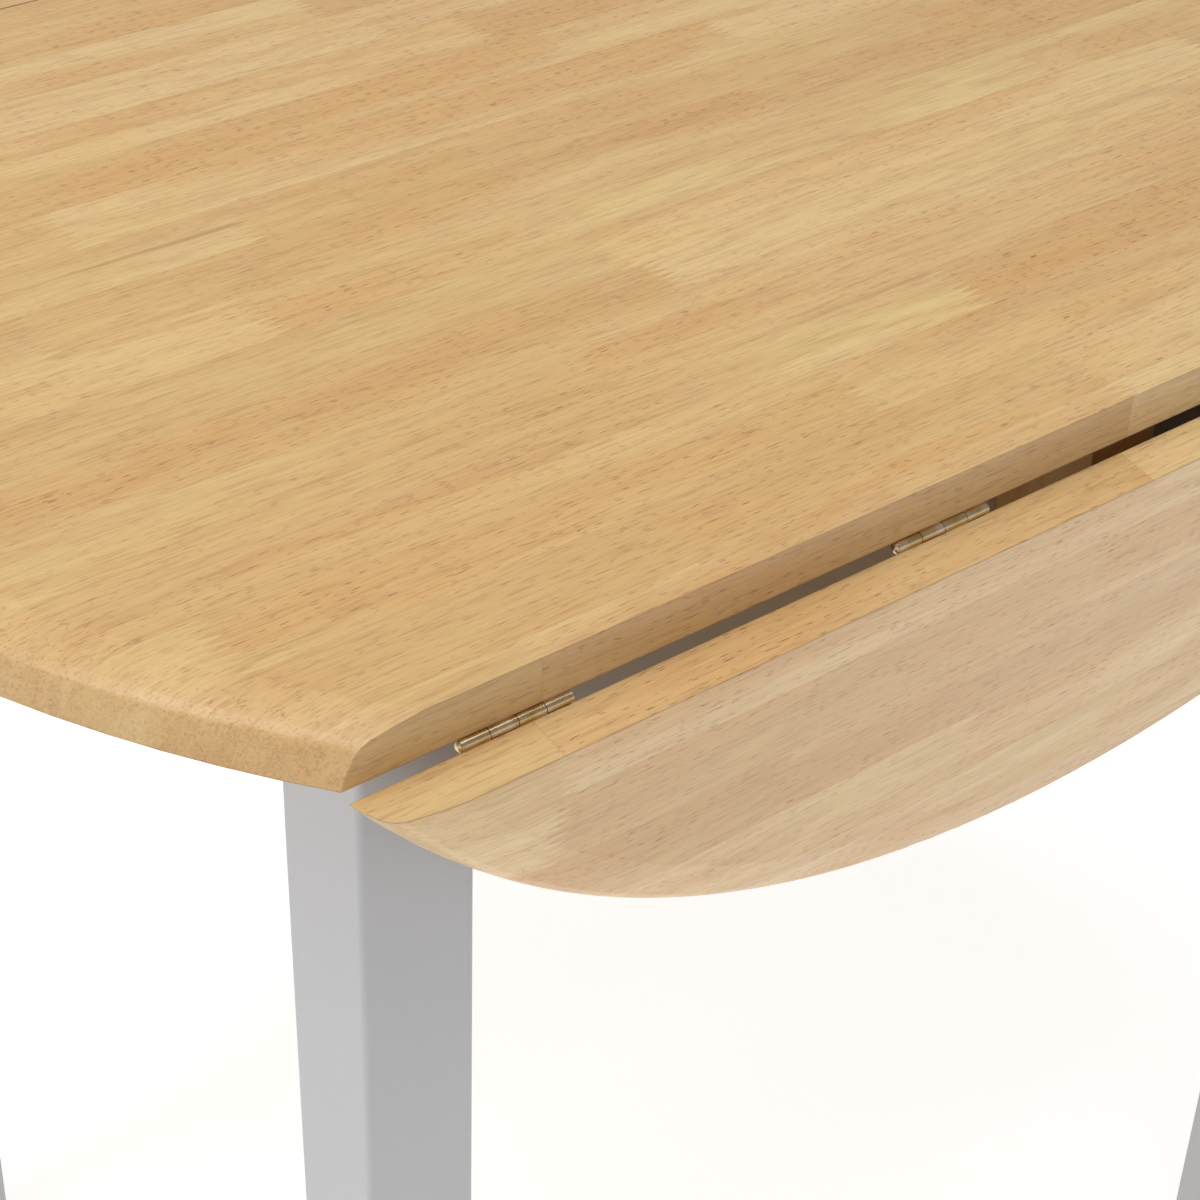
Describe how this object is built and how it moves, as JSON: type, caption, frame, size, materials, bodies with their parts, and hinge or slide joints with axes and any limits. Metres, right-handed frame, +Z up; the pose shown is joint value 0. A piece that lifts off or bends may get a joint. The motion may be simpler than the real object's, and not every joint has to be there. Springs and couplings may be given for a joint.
{
  "type": "gateleg table",
  "caption": "Round drop-leaf table: a wooden top with two hinged leaves on square painted legs, with swing-leg gates that hold up the leaves.",
  "frame": {"origin": "on the floor, under the middle of the box around the table as it stands, which is 90.8 mm behind the middle of the round top because one leaf hangs and the other is raised", "axes": "+X along the leaf joints, to the right when facing the hanging leaf; +Y towards the raised leaf; +Z up"},
  "size_m": [1.016, 0.8343, 0.75],
  "materials": {
    "natural_wood": "clear satin lacquer on finger-jointed rubberwood",
    "plain_wood": "bare planed rubberwood",
    "grey_paint": "light grey satin paint",
    "aged_brass": "aged, brushed",
    "steel": "zinc plated",
    "nylon": "moulded, off-white"
  },
  "bodies": {
    "frame": {"apron_dowels": "plain_wood", "corner_blocks": "plain_wood", "far_apron": "grey_paint", "far_gate_block_screws": "steel", "far_gate_pin": "steel", "far_gate_pivot_block": "plain_wood", "far_gate_washers": "nylon", "far_hinge_fixed_flaps": "aged_brass", "far_hinge_fixed_screws": "aged_brass", "far_hinge_pins": "aged_brass", "far_left_leg": "grey_paint", "far_right_leg": "grey_paint", "fixed_top": "natural_wood", "left_apron": "grey_paint", "leg_glides": "nylon", "near_apron": "grey_paint", "near_gate_block_screws": "steel", "near_gate_pin": "steel", "near_gate_pivot_block": "plain_wood", "near_gate_washers": "nylon", "near_hinge_fixed_flaps": "aged_brass", "near_hinge_fixed_screws": "aged_brass", "near_hinge_pins": "aged_brass", "near_left_leg": "grey_paint", "near_right_leg": "grey_paint", "right_apron": "grey_paint", "top_blocks": "plain_wood", "top_screws": "steel"},
    "near_leaf": {"near_leaf": "natural_wood", "near_hinge_leaf_flaps": "aged_brass", "near_hinge_leaf_screws": "aged_brass", "near_leaf_stop": "plain_wood", "near_leaf_stop_screws": "steel"},
    "near_gate": {"near_gate_rail": "grey_paint", "near_gate_post": "grey_paint", "near_gate_glide": "nylon"},
    "far_leaf": {"far_leaf": "natural_wood", "far_hinge_leaf_flaps": "aged_brass", "far_hinge_leaf_screws": "aged_brass", "far_leaf_stop": "plain_wood", "far_leaf_stop_screws": "steel"},
    "far_gate": {"far_gate_rail": "grey_paint", "far_gate_post": "grey_paint", "far_gate_glide": "nylon"}
  },
  "joints": [
    {"name": "near_leaf_hinge", "type": "hinge", "parent": "frame", "child": "near_leaf", "pos_m": [0, -0.39618, 0.72845], "axis": [-1, 0, 0], "range_deg": [0, 101]},
    {"name": "far_leaf_hinge", "type": "hinge", "parent": "frame", "child": "far_leaf", "pos_m": [0, 0.21462, 0.72845], "axis": [1, 0, 0], "range_deg": [0, 3]},
    {"name": "near_gate_hinge", "type": "hinge", "parent": "frame", "child": "near_gate", "pos_m": [0, -0.34815, 0.65], "axis": [0, 0, -1], "range_deg": [0, 0.8]},
    {"name": "far_gate_hinge", "type": "hinge", "parent": "frame", "child": "far_gate", "pos_m": [0, 0.16658, 0.65], "axis": [0, 0, -1], "range_deg": [0, 48]}
  ]
}
